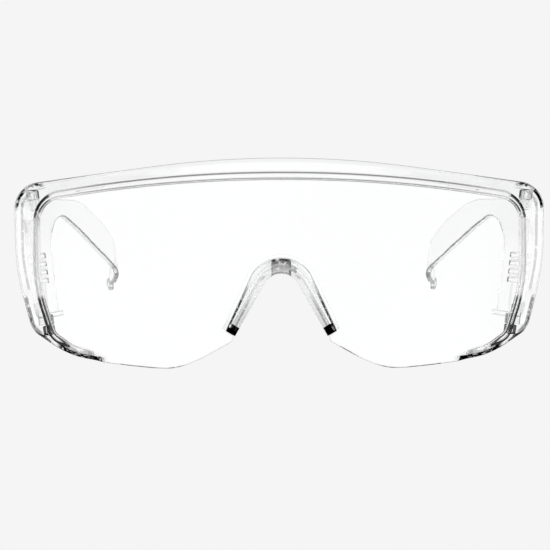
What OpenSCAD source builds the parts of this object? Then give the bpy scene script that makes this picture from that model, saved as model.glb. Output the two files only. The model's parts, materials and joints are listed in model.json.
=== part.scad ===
// Safety overglasses: a wide curved lens with a rim turned back round its top and sides,
// a clip-in nose bridge, and two folding temples with side shields on pinned barrels.
// The pieces are laid out as worn: +X to the right of someone who faces the lens, +Y back
// towards the wearer and +Z up, with Z = 0 at the lens's lower edge. stood() then sets them
// down as they lie on a table, on the lens's lower edge and the two temple tips.

/* [Lens face] */
// Radius of the face, seen from above
face_r = 220; // [180:1:320]
// Width of the face between the bends of the rim
face_w = 146.6; // [141:0.2:152]
// Height of the face at the middle of the brow
face_h = 57.3; // [55:0.1:60]
// Wall of the face
lens_wall = 2.2; // [1.8:0.1:2.6]
// Distance from the middle to the lowest stretch of the lower edge
lobe_x = 31.1; // [28:0.1:34]

/* [Rim] */
// How far the rim reaches back from the face
rim_depth = 7; // [5:0.5:7.5]
// How far the rim flares up at the brow
brow_flare = 4.3; // [3:0.1:5]
// How far the rim flares out at the sides
side_flare = 6.3; // [5:0.1:7]
// Wall of the rim
rim_wall = 1.9; // [1.5:0.1:2]
// Distance from the middle to where the rim runs out into the lower edge
rim_end_x = 51; // [48:0.5:54]

/* [Nose bridge] */
// Height of the top of the nose opening
nose_top = 27.5; // [25:0.1:30]
// Radius at the top of the nose opening
nose_r = 5.3; // [4.5:0.1:6.5]
// Angle of each side of the nose opening from upright
nose_angle = 29.7; // [26:0.1:32]
// Height of the feet of the bridge
nose_foot = 9.4; // [8.8:0.1:10.5]
// Width of the bridge's face at the top
bridge_w_top = 4.6; // [4:0.1:5.5]
// Width of the bridge's face at its feet
bridge_w_foot = 3.1; // [3:0.1:4]
// How far the saddle reaches back from the face
saddle_depth = 9; // [7:0.5:11]
// How far the saddle opens out towards the wearer
saddle_flare = 2.2; // [1:0.1:3]
// Wall of the saddle
saddle_wall = 1.9; // [1.5:0.1:2.2]
// Width of the lip that lies behind the lens
lip_w = 1.2; // [0.8:0.1:2]
// Thickness of that lip
lip_wall = 1.2; // [0.8:0.1:1.6]
// Width of the tab at the top of the bridge
tab_w = 5.4; // [4:0.1:7]
// Height of that tab
tab_h = 4.4; // [3.6:0.1:5.2]
// Depth of that tab behind the back of the lens
tab_depth = 1.1; // [0.8:0.1:1.6]
// Clearance between the bridge and the lens
bridge_gap = 0.06; // [0.04:0.01:0.1]

/* [Hinges] */
// How far the hinge line lies inside the side bends of the lens
hinge_in = 1.7; // [1.5:0.1:2.3]
// How far the hinge line lies behind the rear edge of the rim
hinge_set = 3; // [2.6:0.1:4]
// Height of the lower end of the lower lug
hinge_low = 9.1; // [8.6:0.1:10]
// How far the upper end of the upper lug lies below the middle of the brow
hinge_drop = 4.4; // [4:0.1:6]
// Lean of the hinge line, top outward
hinge_lean = 7; // [6:0.1:8]
// Height of one lug
lug_h = 3; // [2.4:0.1:3.4]
// Height of one temple knuckle
knuckle_h = 3; // [2.4:0.1:4]
// Gap between a lug and its knuckle
lug_gap = 0.2; // [0.15:0.05:0.4]
// Outer radius of the barrels
barrel_r = 1.7; // [1.6:0.05:1.9]
// Radius of the hinge pins
pin_r = 0.9; // [0.7:0.05:1]
// Radial clearance of the pins in the temple knuckles
pin_gap = 0.05; // [0.03:0.01:0.08]

/* [Temples] */
// Distance of the cord eyelet behind the front of the face
temple_reach = 163.3; // [155:0.1:172]
// Wall of the temples and their side shields
temple_wall = 2; // [1.6:0.1:2.4]
// Length of the side shield
shield_len = 29.3; // [26:0.1:32]
// How far the side shield's top edge lies below the upper end of the hinge
shield_top_in = 1.9; // [1.5:0.1:3]
// How far the side shield's foot lies above the lower end of the hinge
shield_foot_in = 5.1; // [4.4:0.1:5.6]
// How far the side shield stands outside the hinge line
shield_out = 4.3; // [4:0.1:4.5]
// Radius of the arch between the shield and the arm
arch_r = 20; // [16:1:22]
// Width of the ledge along the foot of the shield
ledge_w = 2.2; // [1:0.1:3]
// Height of that ledge
ledge_h = 1.6; // [1:0.1:2.5]
// How far the arm draws in, from the hinge line to where its tip turns out
arm_in = 14.4; // [10:0.1:16]
// How far the tip turns out
tip_turn = 17; // [10:0.5:20]
// How far the cord eyelet lies below the middle of the hinge line
tip_drop = 9.4; // [7:0.1:12]

/* [Vents and eyelets] */
// Vent slots in each side shield
vent_count = 4; // [2:1:5]
// Distance from slot to slot
vent_pitch = 2.6; // [2:0.1:3]
// Height of one slot
vent_h = 1; // [0.6:0.1:1.4]
// Length of one slot
vent_len = 13; // [8:0.5:16]
// Distance of the slots from the front of the shield
vent_start = 8; // [7:0.5:12]
// Height of the top slot above the middle of the hinge line
vent_top = 2.3; // [0:0.1:5]
// Outer radius of the cord eyelets
eyelet_r = 2.2; // [2:0.1:2.6]
// Radius of the cord holes
cord_hole_r = 1.05; // [0.8:0.05:1.2]
// Wall of the eyelets
eyelet_wall = 1.6; // [1.2:0.1:2]

/* [Hidden] */
$fn = 48;

half_w = face_w / 2;
arc_steps = 8;      // flat steps in one rounded corner of an outline
brow_mid = 32;      // where the brow's even fall starts
brow_fall = 6.2;    // fall of the brow from the middle to the corner
rim_mid = 19;       // the same for the rim's rear edge
rim_fall = 7.6;
side_bend_z = 24;   // height at which the sides start to draw in
rim_rise = 9;       // length over which the rim rises from the lower edge
rim_turn = 8;       // further length over which its slant turns into a step
shelf_inset = 0.15; // how far the lobes' tips lie inside the face's surfaces
shelf_lap = 0.8;    // how far the lobes' tips run into the face
shelf_reach = 5;    // how far the lobes' tips run out from the foot of the bridge
rest_cut = 0.3;     // depth of the flats that the lens rests on
pin_spare = 0.3;    // how far a pin stops short of the ends of its barrel
lug_bite = [1, 3];   // how far the feet of the upper and lower lugs run into the rim
web_more = 3;       // how far a knuckle's web runs on along the shield
web_lead = 0.8;     // how far that web and the shield start ahead of the hinge line
ledge_start = 4;    // the ledge's distance from the front of the shield
ledge_end = 3;      // and from its back
tab_sink = 1.2;     // how far the bridge's tab reaches below the top of the nose opening
neck = [6, 2.8, 32]; // length, height and slope of the neck between arm and eyelet
through = 60;       // length of cuts that pass right through

// A line of corners [x, y, radius], each rounded by an arc
function turn(v) = atan2(v.y, v.x);
function unit(v) = v / norm(v);
function corner(p, q, s, n) =
    let (a = unit([p.x, p.y] - [q.x, q.y]), b = unit([s.x, s.y] - [q.x, q.y]))
    let (half = acos(a * b) / 2, reach = q[2] / tan(half))
    let (mid = [q.x, q.y] + unit(a + b) * q[2] / sin(half))
    let (from = turn([q.x, q.y] + a * reach - mid), to = turn([q.x, q.y] + b * reach - mid))
    let (sweep = to - from > 180 ? to - from - 360 : to - from < -180 ? to - from + 360 : to - from)
    [for (k = [0:n]) mid + q[2] * [cos(from + sweep * k / n), sin(from + sweep * k / n)]];
function rounded(c, n = arc_steps) =
    [for (i = [0:len(c) - 1])
        each (len(c[i]) < 3 || i == 0 || i == len(c) - 1)
            ? [[c[i].x, c[i].y]]
            : corner(c[i - 1], c[i], c[i + 1], n)];
function reversed(l) = [for (i = [len(l) - 1:-1:0]) l[i]];
function mirrored(l) = [for (p = l) [-p.x, p.y]];
function smooth(t) = t <= 0 ? 0 : t >= 1 ? 1 : t * t * (3 - 2 * t);

// Front surface of the face: an upright cylinder through the origin
function face_y(x) = face_r - sqrt(face_r * face_r - x * x);

// The rim's bend line and its rear edge, seen from the front, from where the rim runs out,
// round the lower corner, up the side and along the brow to the middle
bend_line = rounded([
    [rim_end_x, 3.3],
    [half_w - 11.8, 4.6, 20],
    [half_w - 5.1, 8.4, 6],
    [half_w + 0.1, side_bend_z, 50],
    [half_w, face_h - brow_fall, 9],
    [brow_mid, face_h, 420],
    [0, face_h]]);
rear_line = rounded([
    [rim_end_x, 1.5],
    [half_w - 10.9, 2.45, 24],
    [half_w + side_flare - 5.4, 11, 8],
    [half_w + side_flare - 0.4, side_bend_z + 5.5, 60],
    [half_w + side_flare, face_h + brow_flare - rim_fall, 8],
    [rim_mid, face_h + brow_flare, 300],
    [0, face_h + brow_flare]]);

// Along the brow the points of the two lines are matched from side to side
corner_end = 4 * (arc_steps + 1);
brow_line = [for (i = [corner_end:len(rear_line) - 1]) rear_line[i]];
rear_edge = [for (i = [0:len(rear_line) - 1])
    let (x = bend_line[i].x * rear_line[corner_end].x / bend_line[corner_end].x)
    i <= corner_end ? rear_line[i] : [x, lookup(x, brow_line)]];

// Nose opening: [point, outward normal, width of the bridge's face] from the top to the foot
nose_mid = [0, nose_top - nose_r];
nose_side = [cos(nose_angle), sin(nose_angle)];
nose_down = [sin(nose_angle), -cos(nose_angle)];
leg_start = nose_mid + nose_r * nose_side;
leg_len = (leg_start.y - nose_foot) / cos(nose_angle);
leg_steps = 6;
nose_half = concat(
    [for (k = [0:arc_steps])
        let (a = 90 + (nose_angle - 90) * k / arc_steps, n = [cos(a), sin(a)])
        [nose_mid + nose_r * n, n, bridge_w_top]],
    [for (k = [1:leg_steps])
        [leg_start + nose_down * leg_len * k / leg_steps, nose_side,
         bridge_w_top + (bridge_w_foot - bridge_w_top) * k / leg_steps]]);
nose_all = concat(
    [for (s = reversed(nose_half)) [[-s[0].x, s[0].y], [-s[1].x, s[1].y], s[2]]],
    [for (i = [1:len(nose_half) - 1]) nose_half[i]]);

// Plain edge of the face, its right half from the top of the nose cut-out, down the leg and
// along the lower lobe to where the rim starts
foot = nose_half[len(nose_half) - 1];
cut_foot = foot[0] + foot[1] * (foot[2] + bridge_gap);
plain_edge = concat(
    [for (s = nose_half) s[0] + s[1] * (s[2] + bridge_gap)],
    [[cut_foot.x + 0.05, cut_foot.y - 0.6]],
    rounded([[cut_foot.x + 0.3, foot[0].y - 2.35], [lobe_x - 8.1, 3, 18], [lobe_x, -0.49, 21],
             [(lobe_x + rim_end_x) / 2 + 3, 0.7], [rim_end_x, 1.5]]));

// The hinge line, which follows the lens: its middle, and heights along it from there
hinge_x = half_w - hinge_in;
hinge_y = face_y(hinge_x) + rim_depth + hinge_set;
hinge_z = (face_h - hinge_drop + hinge_low) / 2;
lug_span = (face_h - hinge_drop - hinge_low) / cos(hinge_lean);
lug_top = lug_span / 2 - lug_h;
knuckle_top = lug_top - lug_gap - knuckle_h;

// Temple, seen from above as [y, x] and from the side as [y, z]. x is measured from the
// hinge line and z from its middle.
shield_front = hinge_y - web_lead;
shield_back = shield_front + shield_len;
shield_top = lug_span / 2 - shield_top_in;
shield_foot = shield_foot_in - lug_span / 2;
tip_bend = temple_reach - 13.3;
tip_x = (temple_reach - tip_bend) * tan(tip_turn) - arm_in;
tip_z = -tip_drop;
temple_path = rounded([
    [shield_front, shield_out - temple_wall / 2],
    [shield_front + 21, 1.7, 200],
    [shield_front + 57, -5.6, 400],
    [tip_bend, -arm_in, 25],
    [temple_reach + 3, tip_x + 3 * tan(tip_turn)]]);
temple_side = rounded([
    [shield_front, 0],
    [shield_front, shield_top, 4],
    [shield_front + 71.8, shield_top, 120],
    [temple_reach - 35.3, tip_z + 22.5, 80],
    [temple_reach - 15.8, tip_z + 15.4, 20],
    [temple_reach - 2.3, tip_z + 2.5, 1.4],
    [temple_reach - 5.2, tip_z + 0.3, 1],
    [temple_reach - 20.3, tip_z + 5.9, 20],
    [shield_back + 10.9, shield_top - 3.5, arch_r],
    [shield_back, shield_top - 14.4, 4],
    [shield_back, shield_foot, 3],
    [shield_front, shield_foot, 5],
    [shield_front, 0]]);

// How the assembly stands on a table: the tips' lowest points and the lens's flats at Z = 0
tip_worn = [temple_reach, hinge_z + tip_z * cos(hinge_lean) - tip_x * sin(hinge_lean)];
tip_low = eyelet_r * cos(hinge_lean) + eyelet_wall / 2 * sin(hinge_lean);
edge_worn = [face_y(lobe_x + 5) + lens_wall, rest_cut];
rest_run = tip_worn - edge_worn;
rest_lean = turn(rest_run) - asin(tip_low / norm(rest_run));
rest_lift = edge_worn.x * sin(rest_lean) - edge_worn.y * cos(rest_lean);
front_most = min([for (p = plain_edge) face_y(p.x) * cos(rest_lean) + p.y * sin(rest_lean)]);
back_most = tip_worn.x * cos(rest_lean) + tip_worn.y * sin(rest_lean)
    + eyelet_r * cos(tip_turn) + eyelet_wall / 2 * sin(tip_turn);

module stood() {
    translate([0, -(front_most + back_most) / 2, rest_lift])
        rotate([-rest_lean, 0, 0])
            children();
}

// A piece on the right side, or its mirror image on the left
module sided(left) {
    mirror([left ? 1 : 0, 0, 0]) children();
}

// The hinge line's own axes: Z along the line, with the origin at its middle
module on_hinge() {
    translate([hinge_x, hinge_y, hinge_z]) rotate([0, hinge_lean, 0]) children();
}

// The temple's axes lean the same way, but keep Y measured from the face
module on_temple() {
    translate([hinge_x, 0, hinge_z]) rotate([0, hinge_lean, 0]) children();
}

// A closed band: rings of the same number of points, with flat ends
module band(rings) {
    n = len(rings[0]);
    last = len(rings) - 1;
    points = [for (r = rings) each r];
    sides = [for (i = [0:last - 1], j = [0:n - 1])
        let (a = i * n + j, b = i * n + (j + 1) % n)
        each [[a, b, b + n], [a, b + n, a + n]]];
    start = [[for (j = [n - 1:-1:0]) j]];
    end = [[for (j = [0:n - 1]) last * n + j]];
    polyhedron(points, concat(sides, start, end), convexity = 10);
}

// Section of the rim, outward from the bend line and back from the face: its outside, then
// its inside. It slants where it starts, and further on it steps straight back and turns out.
function slanted(flare, back) =
    let (wall = rim_wall * [-back, flare] / norm([back, flare]), rear = [flare, back])
    let (seat = back < 1 ? 0 : min(0, wall.x + (lens_wall - wall.y) * flare / back))
    [[0, 0], rear / 2, rear, rear + wall, (rear + wall + [seat, lens_wall]) / 2,
     [seat, lens_wall]];
function stepped(flare) =
    [[0, 0], [0, rim_depth - rim_wall], [flare, rim_depth - rim_wall], [flare, rim_depth],
     [-rim_wall, rim_depth], [-rim_wall, lens_wall]];

// The rim rises from where it runs out, and then takes its step
function rim_far(i) = norm(bend_line[i] - bend_line[0]);
function rim_section(i, flare) =
    let (step = smooth((rim_far(i) - rim_rise) / rim_turn))
    (1 - step) * slanted(flare, rim_depth * smooth(rim_far(i) / rim_rise)) + step * stepped(flare);
function rim_ring(i) =
    let (last = len(bend_line) - 1, p = bend_line[i])
    let (along = i == last ? [-1, 0] : unit(bend_line[min(i + 1, last)] - bend_line[max(i - 1, 0)]))
    let (out = [along.y, -along.x])
    [for (q = rim_section(i, (rear_edge[i] - p) * out))
        let (at = i == 0 || q.x <= 0 ? p + out * q.x : p + (rear_edge[i] - p) * q.x
            / ((rear_edge[i] - p) * out))
        [at.x, face_y(p.x) + q.y, at.y]];

// Plain edges of the face are cut straight through its wall
function edge_ring(p) = [for (k = [0:5]) [p.x, face_y(p.x) + lens_wall * k / 5, p.y]];

// Triangles that fill the right half between its lower chain of points, from 0, and its
// upper chain, down from the last, both running outward to the widest point
function filled(p, widest, i, j) =
    j - i < 2 ? []
    : i < widest && (j == widest || p[i + 1].x <= p[j - 1].x)
        ? concat([[i, j, i + 1]], filled(p, widest, i + 1, j))
        : concat([[i, j, j - 1]], filled(p, widest, i, j - 1));

// Face and rim as one shell, from rings of six points round the outline
module shell() {
    half = concat([for (p = plain_edge) edge_ring(p)],
                  [for (i = [0:len(bend_line) - 1]) rim_ring(i)]);
    last = len(half) - 1;
    count = 2 * last;
    rings = concat(half, [for (i = [last - 1:-1:1]) [for (p = half[i]) [-p.x, p.y, p.z]]]);
    xs = [for (r = half) r[0].x];
    widest = search(max(xs), xs)[0];
    right = filled([for (r = half) r[0]], widest, 0, last);
    left = [for (t = right)
        [for (i = [t[0], t[2], t[1]]) i == 0 || i == last ? i : count - i]];
    caps = concat(right, left);
    polyhedron(
        [for (r = rings) each r],
        concat(
            [for (t = caps) [for (i = t) 6 * i]],
            [for (t = caps) [for (i = [t[0], t[2], t[1]]) 6 * i + 5]],
            [for (i = [0:count - 1], j = [0:4])
                let (a = 6 * i + j, b = 6 * ((i + 1) % count) + j)
                each [[a, b, b + 1], [a, b + 1, a + 1]]]),
        convexity = 10);
}

// Tip of each lower lobe, a shelf below the foot of the bridge
module lobe_tip() {
    start = foot[0] + nose_down * bridge_gap;
    front = face_y(foot[0].x + shelf_reach) + shelf_inset;
    back = face_y(foot[0].x) + lens_wall - shelf_inset;
    translate([0, back, 0])
        rotate([90, 0, 0])
            linear_extrude(height = back - front)
                polygon([start, start + foot[1] * (foot[2] + 2 * bridge_gap + shelf_lap),
                         foot[0] + [shelf_reach, -3.4], foot[0] + [0.95, -1.6]]);
}

// A barrel with a foot that runs forward into the rim
module lug(z, foot_len) {
    translate([0, 0, z]) {
        cylinder(r = barrel_r, h = lug_h);
        translate([-barrel_r, -foot_len, 0]) cube([2 * barrel_r, foot_len, lug_h]);
    }
}

module lugs() {
    on_hinge() {
        lug(lug_top, hinge_set + lug_bite[0]);
        lug(-lug_top - lug_h, hinge_set + lug_bite[1]);
    }
}

module pin_holes(r) {
    on_hinge()
        for (side = [-1, 1])
            translate([0, 0, side * lug_span / 2])
                cylinder(r = r, h = 2 * (lug_h + lug_gap + knuckle_h + pin_spare), center = true);
}

// Lens: face, rim and hinge lugs in one moulding, flat where it rests
module lens() {
    color([0.93, 0.95, 0.96, 0.5])
        difference() {
            stood() {
                difference() {
                    union() {
                        shell();
                        for (left = [false, true])
                            sided(left) {
                                lugs();
                                lobe_tip();
                            }
                    }
                    for (left = [false, true]) sided(left) pin_holes(pin_r);
                }
            }
            translate([-face_w, -face_w, -through]) cube([2 * face_w, 2 * face_w, through]);
        }
}

// Section of the bridge, outward from the nose opening and back from the face
function bridge_section(w) =
    let (lip_y = lens_wall + bridge_gap, lip_back = lip_y + lip_wall)
    let (inner = saddle_flare * lip_back / saddle_depth)
    [[0, 0], [w, 0], [w, lip_y], [w + lip_w, lip_y], [w + lip_w, lip_back],
     [inner + saddle_wall, lip_back], [saddle_flare + saddle_wall, saddle_depth],
     [saddle_flare, saddle_depth]];

module nose_bridge() {
    rings = [for (s = nose_all)
        [for (q = bridge_section(s[2]))
            let (p = s[0] + s[1] * q.x)
            [p.x, face_y(p.x) + q.y, p.y]]];
    color([0.90, 0.93, 0.95, 0.6])
        stood() {
            union() {
                band(rings);
                bridge_tab();
            }
        }
}

// Square tab behind the top of the bridge, hollowed in line with the nose opening
module bridge_tab() {
    difference() {
        translate([-tab_w / 2, lens_wall / 2, nose_top - tab_sink])
            cube([tab_w, lens_wall / 2 + lip_wall + tab_depth, tab_h]);
        translate([0, lens_wall, nose_mid.y])
            rotate([90, 0, 0])
                cylinder(r = nose_r, h = through, center = true);
    }
}

// Upright wall that follows the temple's path, from in_by inside it to out_by outside it
module path_wall(in_by, out_by, low, high) {
    last = len(temple_path) - 1;
    along = [for (i = [0:last])
        unit(temple_path[min(i + 1, last)] - temple_path[max(i - 1, 0)])];
    edge = function (by) [for (i = [0:last])
        [temple_path[i].y + along[i].x * by, temple_path[i].x - along[i].y * by]];
    translate([0, 0, low])
        linear_extrude(height = high - low)
            polygon(concat(edge(out_by), reversed(edge(-in_by))));
}

module side_profile() {
    rotate([90, 0, 90])
        translate([0, 0, -face_w / 2])
            linear_extrude(height = face_w)
                polygon(temple_side);
}

module temple_arm() {
    intersection() {
        path_wall(temple_wall / 2, temple_wall / 2, -through / 2, through / 2);
        side_profile();
    }
}

// Inward ledge along the foot of the side shield
module ledge() {
    intersection() {
        path_wall(temple_wall / 2 + ledge_w, 0, shield_foot, shield_foot + ledge_h);
        translate([-through / 2, shield_front + ledge_start, -through / 2])
            cube([through, shield_len - ledge_start - ledge_end, through]);
    }
}

// Knuckle on the hinge line, with a taller web out to the shield
module knuckle(z, web_z) {
    translate([0, hinge_y, z]) cylinder(r = barrel_r, h = knuckle_h);
    translate([0, shield_front, web_z])
        cube([shield_out - temple_wall / 2, barrel_r + web_lead, knuckle_h + web_more]);
}

// Horizontal slots with round ends, through the side shield
module vents() {
    for (k = [0:vent_count - 1])
        translate([0, shield_front + vent_start + vent_h / 2, vent_top - k * vent_pitch])
            rotate([0, 90, 0]) {
                for (end = [0, vent_len - vent_h])
                    translate([0, end, 0])
                        cylinder(r = vent_h / 2, h = through, center = true);
                translate([-vent_h / 2, 0, -through / 2])
                    cube([vent_h, vent_len - vent_h, through]);
            }
}

// Thin tab below the end of the arm, with a hole for a cord
module eyelet() {
    translate([tip_x, temple_reach, tip_z])
        rotate([0, 0, -tip_turn])
            difference() {
                union() {
                    rotate([0, 90, 0])
                        cylinder(r = eyelet_r, h = eyelet_wall, center = true);
                    rotate([-neck[2], 0, 0])
                        translate([-eyelet_wall / 2, -neck[0], -neck[1] / 2])
                            cube([eyelet_wall, neck[0], neck[1]]);
                }
                rotate([0, 90, 0])
                    cylinder(r = cord_hole_r, h = 2 * eyelet_wall, center = true);
            }
}

module temple(left) {
    color([0.88, 0.92, 0.95, 0.6])
        stood()
            sided(left)
                difference() {
                    on_temple() {
                        difference() {
                            union() {
                                temple_arm();
                                ledge();
                                knuckle(knuckle_top, knuckle_top - web_more);
                                knuckle(-knuckle_top - knuckle_h, -knuckle_top - knuckle_h);
                            }
                            vents();
                        }
                        eyelet();
                    }
                    pin_holes(pin_r + pin_gap);
                }
}

module left_temple() {
    temple(true);
}

module right_temple() {
    temple(false);
}

// One pin, pressed into its lug and running in its knuckle
module hinge_pin(left, upper) {
    length = lug_h + lug_gap + knuckle_h - 2 * pin_spare;
    color([0.80, 0.86, 0.92, 0.8])
        stood()
            sided(left)
                on_hinge()
                    translate([0, 0, upper ? lug_top + lug_h - pin_spare - length
                                           : -lug_top - lug_h + pin_spare])
                        cylinder(r = pin_r, h = length);
}

module hinge_pin_left_upper() {
    hinge_pin(true, true);
}

module hinge_pin_left_lower() {
    hinge_pin(true, false);
}

module hinge_pin_right_upper() {
    hinge_pin(false, true);
}

module hinge_pin_right_lower() {
    hinge_pin(false, false);
}

lens();
nose_bridge();
left_temple();
right_temple();
hinge_pin_left_upper();
hinge_pin_left_lower();
hinge_pin_right_upper();
hinge_pin_right_lower();
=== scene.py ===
# %% [markdown]
# # Clear safety overglasses
# A pair of clear moulded overglasses: one wide lens with a rim turned back round it, a bridge
# clipped into the nose opening, and two temples with side shields that fold on pinned barrels.
# The imported model gives every place and joint. This script gives each piece its finished
# surface: thin walls with rounded edges, which draw the lines in clear plastic, and painted
# shade on its faces that darkens those lines and adds dark marks.

# %% Load the frame
import json
import math

import bmesh
import bpy
from mathutils import Matrix, Vector


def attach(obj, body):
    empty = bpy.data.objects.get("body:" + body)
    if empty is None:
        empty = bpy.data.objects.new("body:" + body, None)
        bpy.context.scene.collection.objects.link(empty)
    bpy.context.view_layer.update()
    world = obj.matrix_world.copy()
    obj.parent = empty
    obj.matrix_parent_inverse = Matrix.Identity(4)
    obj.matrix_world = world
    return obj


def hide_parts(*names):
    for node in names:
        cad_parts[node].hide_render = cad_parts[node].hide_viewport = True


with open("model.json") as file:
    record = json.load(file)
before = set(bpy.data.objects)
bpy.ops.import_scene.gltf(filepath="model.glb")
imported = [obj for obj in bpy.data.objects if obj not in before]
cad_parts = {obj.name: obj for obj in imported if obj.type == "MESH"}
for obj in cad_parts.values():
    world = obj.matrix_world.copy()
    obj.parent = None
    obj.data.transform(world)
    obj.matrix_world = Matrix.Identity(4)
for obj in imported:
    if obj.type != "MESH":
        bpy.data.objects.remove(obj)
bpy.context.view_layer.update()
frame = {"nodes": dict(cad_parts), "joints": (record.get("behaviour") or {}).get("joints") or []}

print("frame:", sorted(frame["nodes"]))

# %% [markdown]
# ## The worn frame
# The pieces are drawn as the glasses are worn, in millimetres, with the front of the lens at
# the origin, +Y back towards the wearer and +Z up. On the table they lean back. The right
# hinge line gives that lean: it is upright in the worn frame, apart from leaning outward.
# It stands a little inside the side of the lens and behind its rim, and runs from the lower
# lug's foot to the upper lug's top. One matrix then takes every finished mesh from the worn
# frame to its place on the table.

# %% Place of the worn frame
MM = 0.001
FACE_R = 220.0
HALF_W = 73.3
FACE_H = 57.3
RIM_DEPTH = 7.0
HINGE_X = HALF_W - 1.7
HINGE_SET = 3.0
HINGE_TOP = FACE_H - 4.4
HINGE_FOOT = 9.1


def face_y(x):
    """Depth of the front of the lens, which is part of an upright cylinder."""
    return FACE_R - math.sqrt(FACE_R * FACE_R - x * x)


HINGE = Vector((HINGE_X, face_y(HINGE_X) + RIM_DEPTH + HINGE_SET, (HINGE_TOP + HINGE_FOOT) / 2))

fold = {joint["name"]: joint for joint in frame["joints"]}["right_temple_fold"]
hinge_axis = Vector(fold["axis"])
HINGE_LEAN = math.asin(hinge_axis.x)
REST_LEAN = math.atan2(hinge_axis.y, hinge_axis.z)
lean_back = Matrix.Rotation(-REST_LEAN, 4, "X")
WORN = Matrix.Translation(Vector(fold["pos_m"]) - lean_back @ (HINGE * MM)) @ lean_back
WORN = WORN @ Matrix.Scale(MM, 4)
ON_HINGE = Matrix.Translation(HINGE) @ Matrix.Rotation(HINGE_LEAN, 4, "Y")
ON_TEMPLE = ON_HINGE @ Matrix.Translation((0, -HINGE.y, 0))
print(f"the glasses lean back {math.degrees(REST_LEAN):.2f} degrees on the table")

# %% [markdown]
# ## Camera
# The photograph was taken from the front at eye level, with a long lens. The far tips of the
# temples look a fifth smaller than they would at the front, which puts the camera 565 mm
# away. The glasses were turned one degree from square. The camera is aimed by a direction, a
# hair below level, which puts the glasses as high in the picture as the photograph has them.

# %% Camera
PICTURE = 550
FOCAL_PX = 1945.0
SENSOR = 36.0
CAMERA_AWAY = 565.0
EYE_LEVEL = 31.0
TURN = 0.0178
CENTRE_PX = (281.3, 262.0)

camera = bpy.data.objects.new("camera", bpy.data.cameras.new("camera"))
bpy.context.scene.collection.objects.link(camera)
camera.data.sensor_width = SENSOR
camera.data.lens = FOCAL_PX * SENSOR / PICTURE
aside = (PICTURE / 2 - CENTRE_PX[0]) * CAMERA_AWAY / FOCAL_PX
eye = Vector((aside - CAMERA_AWAY * TURN, -CAMERA_AWAY, EYE_LEVEL))
ahead = Vector((TURN, 1.0, (CENTRE_PX[1] - PICTURE / 2) / FOCAL_PX))
facing = (WORN.to_3x3() @ ahead).to_track_quat("-Z", "Y")
camera.matrix_world = Matrix.Translation(WORN @ eye) @ facing.to_matrix().to_4x4()
bpy.context.scene.camera = camera
print("camera at", [round(v, 4) for v in camera.location])

# %% [markdown]
# ## Shader maths
# A node tree is hard to read in a script. Two small helpers make it short: `node` adds one
# node with its settings and links, and `Socket` wraps an output, so that sums and products
# of outputs are written as in any other code and add their own Math nodes.


# %% Shader helpers
class Socket:
    """One output of a node, so that shader maths reads as an expression."""

    def __init__(self, tree, output):
        self.tree, self.output = tree, output

    def maths(self, operation, *others):
        """One Math node that starts from this output."""
        return node(self.tree, "ShaderNodeMath", {"operation": operation},
                    dict(enumerate((self, *others))))

    def __add__(self, other):
        return self.maths("ADD", other)

    def __mul__(self, other):
        return self.maths("MULTIPLY", other)

    def __rsub__(self, other):
        return node(self.tree, "ShaderNodeMath", {"operation": "SUBTRACT"}, {0: other, 1: self})

    def ramp(self, low, high):
        """0 below low, 1 above high and smooth between."""
        return node(self.tree, "ShaderNodeMapRange", {"interpolation_type": "SMOOTHSTEP"},
                    {"Value": self, "From Min": low, "From Max": high})


def node(tree, kind, settings=None, values=None, output=0):
    """Adds a node, sets it, links or fills its sockets, and returns one output or several."""
    made = tree.nodes.new(kind)
    for name, value in (settings or {}).items():
        setattr(made, name, value)
    for name, value in (values or {}).items():
        if isinstance(value, Socket):
            tree.links.new(value.output, made.inputs[name])
        else:
            made.inputs[name].default_value = value
    if isinstance(output, tuple):
        return [Socket(tree, made.outputs[name]) for name in output]
    return Socket(tree, made.outputs[output]) if made.outputs else None


# %% [markdown]
# ## Studio
# Clear plastic shows nothing but what it bends and mirrors, so the studio matters as much as
# the model. The floor and the background are an even pale grey, as is a belt all round at eye
# level. Above and below that belt the studio is dark, and the rounded edges of the plastic
# bend that darkness into thin lines. Soft light in front and overhead brightens the faces.
# It is all one world shader, because area lights would show in the plastic as hard shapes.

# %% Light from every side
PALE = 0.913
DIM = 0.05
BELT_EDGE = (0.28, 0.34)
FRONT_SIDES = (0.55, 0.8)
FRONT_TOP = (0.4, 0.6)
OVERHEAD_EDGE = (0.4, 0.5)
OVERHEAD_LIGHT = 0.9
CLEAR_BOUNCES = 24
MIRROR_BOUNCES = 8
WHITE = (1, 1, 1, 1)
BLACK = (0.0, 0.0, 0.0, 1)

scene = bpy.context.scene
scene.view_settings.view_transform = "Standard"
scene.cycles.max_bounces = CLEAR_BOUNCES
scene.cycles.transmission_bounces = CLEAR_BOUNCES
scene.cycles.glossy_bounces = MIRROR_BOUNCES

world = bpy.data.worlds.new("studio")
scene.world = world
world.use_nodes = True
tree = world.node_tree
tree.nodes.clear()
ray = node(tree, "ShaderNodeTexCoord", output="Generated")
depth, height = node(tree, "ShaderNodeSeparateXYZ", None, {"Vector": ray}, ("Y", "Z"))
off_level = height.maths("ABSOLUTE")
belt = 1 - off_level.ramp(*BELT_EDGE)
front = (0 - depth).ramp(*FRONT_SIDES) * (1 - off_level.ramp(*FRONT_TOP))
overhead = height.ramp(*OVERHEAD_EDGE)
light = belt * (PALE - DIM) + front + overhead * OVERHEAD_LIGHT + DIM
direct = node(tree, "ShaderNodeLightPath")
strength = direct * PALE + (1 - direct) * light
studio = node(tree, "ShaderNodeBackground", None, {"Color": WHITE, "Strength": strength})
node(tree, "ShaderNodeOutputWorld", None, {"Surface": studio})
print("studio light ready")

# %% Pale floor
FLOOR_SIZE = 6.0
FLOOR_DROP = 0.0002

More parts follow.
